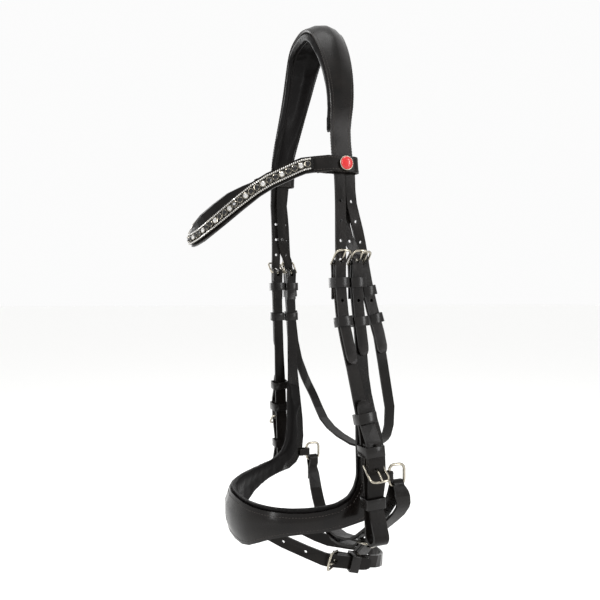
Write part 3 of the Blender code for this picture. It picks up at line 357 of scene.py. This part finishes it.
def sew(node, beads):
    """One mesh with every stitch of a node: low rounded beads of thread lying along the seam."""
    bead = [Vector((math.cos(t) * math.cos(u), math.sin(t) * math.cos(u), math.sin(u)))
            for u in (0, 0.7) for t in [math.tau * k / 8 for k in range(8)]] + [Vector((0, 0, 1))]
    faces = [(k, (k + 1) % 8, 8 + (k + 1) % 8, 8 + k) for k in range(8)]
    faces += [(8 + k, 8 + (k + 1) % 8, 16) for k in range(8)]
    points, polygons = [], []
    for hit, along, normal in beads:
        side = normal.cross(along).normalized()
        base = len(points)
        for p in bead:
            points.append(hit + along * p.x * STITCH.x / 2 + side * p.y * STITCH.y / 2
                          + normal * (p.z * STITCH.z - 0.05 * MM))
        polygons += [tuple(base + i for i in face) for face in faces]
    mesh = bpy.data.meshes.new(node + "_stitching")
    mesh.from_pydata(points, [], polygons)
    mesh.shade_smooth()
    mesh.materials.append(thread)
    piece = bpy.data.objects.new(node + "_stitching", mesh)
    bpy.context.scene.collection.objects.link(piece)
    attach(piece, body_of[node])


STRAP_SEAM = 1.9 * MM               # from the cut edge of a strap
WIDE_FROM = -0.385                  # height below which the noseband is wide and padded
PANEL_TO = -0.152                   # height where the crown's padded panel ends
BAND_ENDS = -0.052                  # the browband's stones begin in front of this


def in_turned_end(place):
    """Whether a place is where an upper strap is turned back round its buckle and sewn."""
    return -0.306 < place.z < -0.268


sew("noseband", stitches("noseband", 3.9 * MM, lambda place: place.z < WIDE_FROM))
sew("headpiece", stitches("headpiece", 2.6 * MM, lambda place: place.z > PANEL_TO))
sew("browband", stitches("browband", STRAP_SEAM, lambda place: place.y > BAND_ENDS))
for side in ("near", "far"):
    sew("cheekpiece_" + side, stitches("cheekpiece_" + side, STRAP_SEAM, in_turned_end))
    sew("bit_chape_" + side, stitches("bit_chape_" + side, STRAP_SEAM, skip=3 * MM))
    sew("ring_tab_" + side, stitches("ring_tab_" + side, 1.5 * MM, skip=2 * MM))
sew("throatlash", stitches("throatlash", STRAP_SEAM, in_turned_end))


# ---------------------------------------------------------------- padding of crown and noseband
# Soft lining leather filled with foam, under the crown and behind the noseband. It swells
# between its seams and rolls out past the outer leather.

HELD = 1.6 * MM                     # closer than this to the outer leather the pad is sewn down
FREE = 3 * MM                       # further on it swells fully


def surface_of(mesh):
    """A mesh's surface, for finding the nearest or the first place on it."""
    return BVHTree.FromPolygons([v.co for v in mesh.vertices], [p.vertices[:] for p in mesh.polygons])


def swell(node, voxel, cap, shrink, neighbours):
    """The node's solid blown up by a short cloth simulation.

    It is held back where it meets its neighbours. It starts smaller by shrink, and no place
    moves further than cap.
    """
    piece = own_mesh(node, node + "_stuffed")
    piece.data.materials.append(lining_leather)
    bpy.context.view_layer.objects.active = piece
    remesh = piece.modifiers.new("remesh", "REMESH")
    remesh.mode = "VOXEL"
    remesh.voxel_size = voxel
    bpy.ops.object.modifier_apply(modifier="remesh")
    mesh = piece.data
    outers = [surface_of(nodes[name].data) for name in neighbours]
    freedom = []
    for vertex in mesh.vertices:
        gap = min(outer.find_nearest(vertex.co)[3] for outer in outers)
        freedom.append(max(0.0, min(1.0, (gap - HELD) / FREE)))
    normals = [vertex.normal.copy() for vertex in mesh.vertices]
    for vertex, normal, free in zip(mesh.vertices, normals, freedom):
        vertex.co -= normal * (0.35 * MM + shrink * free)
    start = [vertex.co.copy() for vertex in mesh.vertices]
    cloth = piece.modifiers.new("cloth", "CLOTH")
    cloth.settings.use_pressure = True
    cloth.settings.uniform_pressure_force = 4
    cloth.settings.effector_weights.gravity = 0
    cloth.settings.quality = 4
    for step in range(1, 21):
        bpy.context.scene.frame_set(step)
    bpy.ops.object.modifier_apply(modifier="cloth")
    bpy.context.scene.frame_set(1)
    for vertex, first, free in zip(piece.data.vertices, start, freedom):
        move = vertex.co - first
        limit = cap * free
        vertex.co = first + (move * (limit / move.length) if move.length > limit else move)
    smooth = piece.modifiers.new("smooth", "SMOOTH")
    smooth.factor = 0.5
    smooth.iterations = 3
    bpy.ops.object.modifier_apply(modifier="smooth")
    subdivide = piece.modifiers.new("subdivide", "SUBSURF")
    subdivide.levels = subdivide.render_levels = 1
    piece.data.shade_smooth()
    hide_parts(node)
    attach(piece, body_of[node])
    return piece


crown_pad = swell("headpiece_padding", 2.4 * MM, 2.4 * MM, 1.2 * MM,
                  ("headpiece", "noseband_headstrap"))
swell("noseband_lining", 2.2 * MM, 2.6 * MM, 1.2 * MM, ("noseband", "ring_tab_near", "ring_tab_far"))


# ---------------------------------------------------------------- piping of the crown lining
# A thin cord covered in the lining leather and sewn in along both edges of the crown's padded
# face, so that the padding ends in a neat round bead.

PIPE = 1.2 * MM                     # radius of the covered cord
PIPE_SUNK = 0.3                     # share of the radius below the face of the pad
PIPE_START = 16                     # degrees above level where the piping starts on each side
PIPE_STEPS = 60
PIPED_SHARES = {"front": 0.22, "back": 0.88}        # of the pad's width
FACE_STEPS = 109                    # rays across the pad's width


def pad_lines(node, shares):
    """Lines on the inner face of a padded node, at shares of its width."""
    face = surface_of(nodes[node].data)
    low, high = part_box(node)
    lines = [[] for _ in shares]
    for k in range(PIPE_STEPS + 1):
        angle = math.radians(PIPE_START + (180 - 2 * PIPE_START) * k / PIPE_STEPS)
        ray = Vector((math.cos(angle), 0, math.sin(angle)))
        found = []
        for step in range(FACE_STEPS + 1):
            y = low.y - 2 * MM + step * (high.y - low.y + 4 * MM) / FACE_STEPS
            hit = face.ray_cast(Vector(((low.x + high.x) / 2, y, low.z - 20 * MM)), ray)[0]
            if hit:
                found.append(hit)
        if not found:
            continue
        for line, share in zip(lines, shares):
            line.append(found[int(share * (len(found) - 1))])
    return lines


def add_pipe(name, line, pad):
    """A round bead along a smoothed line, laid on the stuffed pad and sunk a little into it."""
    for _ in range(3):
        inner = [(a + b * 2 + c) / 4 for a, b, c in zip(line, line[1:], line[2:])]
        line = [line[0], *inner, line[-1]]
    stuffed = surface_of(pad.data)
    curve = bpy.data.curves.new(name, "CURVE")
    curve.dimensions = "3D"
    curve.bevel_depth = PIPE
    curve.bevel_resolution = 3
    curve.use_fill_caps = True
    spline = curve.splines.new("NURBS")
    spline.points.add(len(line) - 1)
    for point, place in zip(spline.points, line):
        on_pad, normal, _, _ = stuffed.find_nearest(place)
        point.co = (*(on_pad - normal * PIPE * PIPE_SUNK), 1)
    spline.use_endpoint_u = True
    spline.order_u = 4
    curve.materials.append(lining_leather)
    piece = bpy.data.objects.new(name, curve)
    bpy.context.scene.collection.objects.link(piece)
    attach(piece, body_of["headpiece_padding"])


for name, line in zip(PIPED_SHARES, pad_lines("headpiece_padding", PIPED_SHARES.values())):
    add_pipe("crown_piping_" + name, line, crown_pad)


# ---------------------------------------------------------------- flash loop
# A short band of keeper leather under the front of the noseband, with the flash strap
# passing through it.

LOOP_WIDTH = 12 * MM
LOOP_LEATHER = 1.8 * MM
LOOP_ROOM = 1.6 * MM                # round the flash strap inside the loop
STRAP_HALF_DEPTH = 2.2 * MM         # of the flash strap where it runs round its bend
LOOP_REACH = 9 * MM                 # of strap behind its foremost place, counted for the middle
LOOP_STEPS = 40


def make_flash_loop():
    """A band round the flash strap where it passes nearest the front of the noseband."""
    strap = nodes["flash_strap"].data
    front = min(v.co.y for v in strap.vertices)
    near = [v.co for v in strap.vertices if v.co.y < front + LOOP_REACH]
    middle = sum(near, Vector()) / len(near)
    half_height = (max(p.z for p in near) - min(p.z for p in near)) / 2 + LOOP_ROOM
    half_depth = STRAP_HALF_DEPTH + LOOP_ROOM
    outline = []
    for k in range(LOOP_STEPS):
        t = math.tau * k / LOOP_STEPS
        c, d = math.cos(t), math.sin(t)
        outline.append(Vector((0, half_depth * math.copysign(abs(c) ** 0.5, c),
                               half_height * math.copysign(abs(d) ** 0.35, d))))
    skin = bmesh.new()
    rings = []
    for across in (-0.5, -0.42, 0.42, 0.5):
        rim = abs(across) == 0.5
        for lift in (0.75, 0.25) if rim else (1, 0):
            ring = []
            for p in outline:
                out = Vector((0, p.y, p.z * 0.4)).normalized()
                shift = Vector((across * LOOP_WIDTH, 0, 0))
                ring.append(skin.verts.new(middle + p + out * lift * LOOP_LEATHER + shift))
            rings.append(ring)
    order = [0, 2, 4, 6, 7, 5, 3, 1]            # over the outside and back along the inside
    for a, b in zip(order, order[1:] + order[:1]):
        for k in range(LOOP_STEPS):
            ahead = (k + 1) % LOOP_STEPS
            skin.faces.new((rings[a][k], rings[a][ahead], rings[b][ahead], rings[b][k]))
    bmesh.ops.recalc_face_normals(skin, faces=skin.faces)
    mesh = bpy.data.meshes.new("flash_loop")
    skin.to_mesh(mesh)
    skin.free()
    mesh.shade_smooth()
    mesh.set_sharp_from_angle(angle=math.radians(60))
    mesh.materials.append(keeper_leather)
    piece = bpy.data.objects.new("flash_loop", mesh)
    bpy.context.scene.collection.objects.link(piece)
    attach(piece, body_of["flash_strap"])


make_flash_loop()


# ---------------------------------------------------------------- buckles, tongues and rings
# Stainless steel wire and small forgings, polished. Faint hairlines from wear dull the bars.

def make_steel():
    """Polished steel: a clear mirror, dulled a little by hairlines."""
    material, tree, place = start_material("polished_stainless_steel")
    hairlines = add_node(tree, "TexNoise", {"Scale": 1 / (1.6 * MM), "Detail": 8.0, "Roughness": 0.75},
                         {"Vector": place})
    dull = add_node(tree, "MapRange", {"From Min": 0.35, "From Max": 0.7, "To Min": 0.09, "To Max": 0.24},
                    {"Value": hairlines.outputs["Fac"]})
    colour = add_node(tree, "Mix", {"data_type": "RGBA", 6: linear("#b3ada0"), 7: linear("#8c8678")},
                      {0: hairlines.outputs["Fac"]})
    bump = add_node(tree, "Bump", {"Strength": 0.12, "Distance": 0.05 * MM},
                    {"Height": hairlines.outputs["Fac"]})
    shader = add_node(tree, "BsdfPrincipled", {"Metallic": 1.0},
                      {"Base Color": colour.outputs[2], "Roughness": dull.outputs[0],
                       "Normal": bump.outputs[0]})
    add_node(tree, "OutputMaterial", links={"Surface": shader.outputs[0]})
    return material


steel = make_steel()
for node in nodes:
    if "buckle" in node or "tongue" in node or node in ("ring_near", "ring_far"):
        dress(node, steel, 0, 65)


# ---------------------------------------------------------------- browband stones
# Cup chain glued to the band: a row of round cut glass stones, one clear to two black, between
# two edge chains of small clear stones. Each stone sits in a stamped metal cup.

STONE_PITCH = 6.6 * MM
STONE = 5.7 * MM
CHAIN_PITCH = 2.05 * MM
CHAIN_STONE = 1.9 * MM
EDGE_ROW = 0.09                     # of the strip's width, from each edge
SETTING_HEIGHT = 0.5 * MM
BIG_SIDES, SMALL_SIDES = 10, 7      # facets round a stone
CUP_SIDES = 12
PRONGS = 4
STRIP_STEPS = 160
BEHIND_BAND = Vector((0, -0.03, 0))             # a place inside the browband's bow


def make_glass(name, colour, metallic, roughness, coat):
    """Cut glass: sharp reflections on every facet, with slight changes from stone to stone."""
    material, tree, place = start_material(name)
    shift = add_node(tree, "TexNoise", {"Scale": 1 / (4 * MM), "Detail": 1.0}, {"Vector": place})
    tint = add_node(tree, "Mix", {"data_type": "RGBA", 6: linear(colour[0]), 7: linear(colour[1])},
                    {0: shift.outputs["Fac"]})
    shader = add_node(tree, "BsdfPrincipled", {"Metallic": metallic, "Roughness": roughness,
                                               "Coat Weight": coat, "Coat Roughness": 0.02},
                      {"Base Color": tint.outputs[2]})
    add_node(tree, "OutputMaterial", links={"Surface": shader.outputs[0]})
    return material


clear_glass = make_glass("foil_backed_clear_glass", ("#e9e7e2", "#a9a9ab"), 0.85, 0.06, 1.0)
black_glass = make_glass("black_cut_glass", ("#020202", "#0a0a0c"), 0.0, 0.08, 0.0)


def length_of(line):
    """Length of a line of places."""
    return sum((a - b).length for a, b in zip(line, line[1:]))


def browband_face():
    """Outer upper and lower edge of the stone strip, as two lines of places, the upper first."""
    skin = join_corners("browband_crystals")
    sharp = [e for e in skin.edges if len(e.link_faces) == 2 and e.calc_face_angle(0) > EDGE_ANGLE]
    count = {}
    for edge in sharp:
        for vertex in edge.verts:
            count[vertex] = count.get(vertex, 0) + 1
    lines = []
    left = set(sharp)
    for corner in [v for v in skin.verts if count.get(v, 0) > 2]:
        for edge in corner.link_edges:
            if edge not in left:
                continue
            left.discard(edge)
            line = [corner, edge.other_vert(corner)]
            while count[line[-1]] == 2:
                step = next((e for e in line[-1].link_edges if e in left), None)
                if step is None:
                    break
                left.discard(step)
                line.append(step.other_vert(line[-1]))
            lines.append([v.co.copy() for v in line])
    skin.free()
    lines = sorted(lines, key=lambda line: -length_of(line))[:4]
    for line in lines:
        if line[0].x < line[-1].x:
            line.reverse()

    def reach(line):
        return sum((p - BEHIND_BAND).xy.length for p in line) / len(line)

    outer = sorted(lines, key=reach)[2:]
    return sorted(outer, key=lambda line: -sum(p.z for p in line) / len(line))


def walk(line, pitch):
    """Places on a line every pitch, with the rest of its length shared by its ends."""
    spans = [(b - a).length for a, b in zip(line, line[1:])]
    total = sum(spans)
    steps = int(total / pitch)
    margin = (total - steps * pitch) / 2 + pitch / 2
    places = []
    for k in range(steps):
        goal = margin + k * pitch
        i = 0
        while i < len(spans) - 1 and goal > spans[i]:
            goal -= spans[i]
            i += 1
        places.append(line[i].lerp(line[i + 1], goal / spans[i]))
    return places


def add_stone(points, polygons, place, side, along, outward, size, sides, height):
    """A cut stone: girdle, a ring of star facets, and a flat table half as wide."""
    base = len(points)
    for r, z, turn in ((1, 0, 0), (1, 0.25, 0), (0.82, 0.68, 0.5), (0.5, 1, 0)):
        for k in range(sides):
            t = math.tau * (k + turn) / sides
            around = side * math.cos(t) + along * math.sin(t)
            points.append(place + around * r * size / 2 + outward * z * height)
    for ring in range(3):
        for k in range(sides):
            a, b = base + ring * sides + k, base + ring * sides + (k + 1) % sides
            c, d = a + sides, b + sides
            polygons += [(a, b, c), (b, d, c)]
    polygons.append(tuple(base + 3 * sides + k for k in range(sides)))


def add_cup(points, polygons, place, side, along, outward, size, height):
    """The stamped cup under a stone, with its prongs bent over the edge."""
    base = len(points)
    for r, z in ((1.0, -0.4), (1.12, 0.35), (1.0, 0.4)):
        for k in range(CUP_SIDES):
            t = math.tau * k / CUP_SIDES
            around = side * math.cos(t) + along * math.sin(t)
            points.append(place + around * r * size / 2 + outward * z * height)
    for ring in range(2):
        for k in range(CUP_SIDES):
            a, b = base + ring * CUP_SIDES + k, base + ring * CUP_SIDES + (k + 1) % CUP_SIDES
            polygons.append((a, b, b + CUP_SIDES, a + CUP_SIDES))
    for k in range(PRONGS):
        t = math.tau * (k + 0.5) / PRONGS
        radial = side * math.cos(t) + along * math.sin(t)
        across = side * -math.sin(t) + along * math.cos(t)
        low = len(points)
        for r, z, w in ((1.12, 0.2, 0.16), (1.10, 0.75, 0.15), (0.80, 1.0, 0.10), (0.80, 0.72, 0.10)):
            for edge in (-1, 1):
                points.append(place + (radial * r + across * w * edge) * size / 2 + outward * z * height)
        polygons += [(low, low + 1, low + 3, low + 2), (low + 2, low + 3, low + 5, low + 4),
                     (low + 4, low + 5, low + 7, low + 6)]


def set_stones():
    """The three rows of stones and their cups, as one mesh for each finish."""
    upper, lower = browband_face()
    heaps = {name: ([], []) for name in ("browband_clear_stones", "browband_black_stones", "browband_cups")}
    rows = ((0.5, STONE_PITCH, STONE, BIG_SIDES), (EDGE_ROW, CHAIN_PITCH, CHAIN_STONE, SMALL_SIDES),
            (1 - EDGE_ROW, CHAIN_PITCH, CHAIN_STONE, SMALL_SIDES))
    tops = walk(upper, length_of(upper) / STRIP_STEPS)
    bottoms = walk(lower, length_of(lower) / STRIP_STEPS)
    cross = [(a - b).normalized() for a, b in zip(tops, bottoms)]
    for share, pitch, size, sides in rows:
        line = [a.lerp(b, share) for a, b in zip(tops, bottoms)]
        for k, place in enumerate(walk(line, pitch)):
            near = min(range(len(line)), key=lambda i: (line[i] - place).length)
            side = cross[near]
            along = (line[min(near + 1, len(line) - 1)] - line[max(near - 1, 0)]).normalized()
            outward = side.cross(along).normalized()
            if outward.xy.dot((place - BEHIND_BAND).xy) < 0:
                outward.negate()
            along = outward.cross(side).normalized()
            big = sides == BIG_SIDES
            kind = "browband_black_stones" if big and k % 3 != 1 else "browband_clear_stones"
            height = size * (0.36 if big else 0.5)
            seat = place + outward * (SETTING_HEIGHT * (0.6 if big else 0.3))
            add_stone(*heaps[kind], seat, side, along, outward, size * 0.93, sides, height)
            add_cup(*heaps["browband_cups"], seat, side, along, outward, size * 0.95, height * 0.8)
    for (name, (points, polygons)), finish in zip(heaps.items(), (clear_glass, black_glass, steel)):
        mesh = bpy.data.meshes.new(name)
        mesh.from_pydata(points, [], polygons)
        mesh.materials.append(finish)
        piece = bpy.data.objects.new(name, mesh)
        bpy.context.scene.collection.objects.link(piece)
        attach(piece, body_of["browband_crystals"])


dress("browband_crystals", keeper_leather, 0.3 * MM)
set_stones()


# ---------------------------------------------------------------- browband buttons
# A round stud at each end of the browband: a domed face of hard red enamel in a steel rim.

RIM_WIRE = 0.75 * MM                # radius of the rolled rim
RIM_LIFT = 0.9 * MM                 # of its middle above the band
RIM_STEPS, WIRE_STEPS = 40, 8


def make_enamel():
    """Fired enamel: an even glassy red, a little cloudy where it flowed."""
    material, tree, place = start_material("fired_red_enamel")
    flow = add_node(tree, "TexNoise", {"Scale": 1 / (5 * MM), "Detail": 2.0}, {"Vector": place})
    colour = add_node(tree, "Mix", {"data_type": "RGBA", 6: linear("#b0060a"), 7: linear("#d01512")},
                      {0: flow.outputs["Fac"]})
    shader = add_node(tree, "BsdfPrincipled", {"Roughness": 0.22, "Coat Weight": 0.35,
                                               "Coat Roughness": 0.05},
                      {"Base Color": colour.outputs[2]})
    add_node(tree, "OutputMaterial", links={"Surface": shader.outputs[0]})
    return material


enamel = make_enamel()
for side, sign in (("near", 1), ("far", -1)):
    node = "browband_button_" + side
    dress(node, enamel, 0.9 * MM, 80)
    low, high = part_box(node)
    radius = (high.z - low.z) / 2
    seat = low.x if sign > 0 else high.x
    centre = (low + high) / 2
    skin = bmesh.new()
    loops = []
    for k in range(RIM_STEPS):
        t = math.tau * k / RIM_STEPS
        loop = []
        for q in range(WIRE_STEPS):
            u = math.tau * q / WIRE_STEPS
            r = radius + 0.1 * MM + RIM_WIRE * math.cos(u)
            loop.append(skin.verts.new((seat + sign * (RIM_LIFT + RIM_WIRE * math.sin(u)),
                                        centre.y + r * math.cos(t), centre.z + r * math.sin(t))))
        loops.append(loop)
    for loop, after in zip(loops, loops[1:] + loops[:1]):
        for q in range(WIRE_STEPS):
            r = (q + 1) % WIRE_STEPS
            skin.faces.new((loop[q], loop[r], after[r], after[q]))
    bmesh.ops.recalc_face_normals(skin, faces=skin.faces)
    mesh = bpy.data.meshes.new(f"browband_button_rim_{side}")
    skin.to_mesh(mesh)
    skin.free()
    mesh.shade_smooth()
    mesh.materials.append(steel)
    rim = bpy.data.objects.new(mesh.name, mesh)
    bpy.context.scene.collection.objects.link(rim)
    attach(rim, body_of[node])
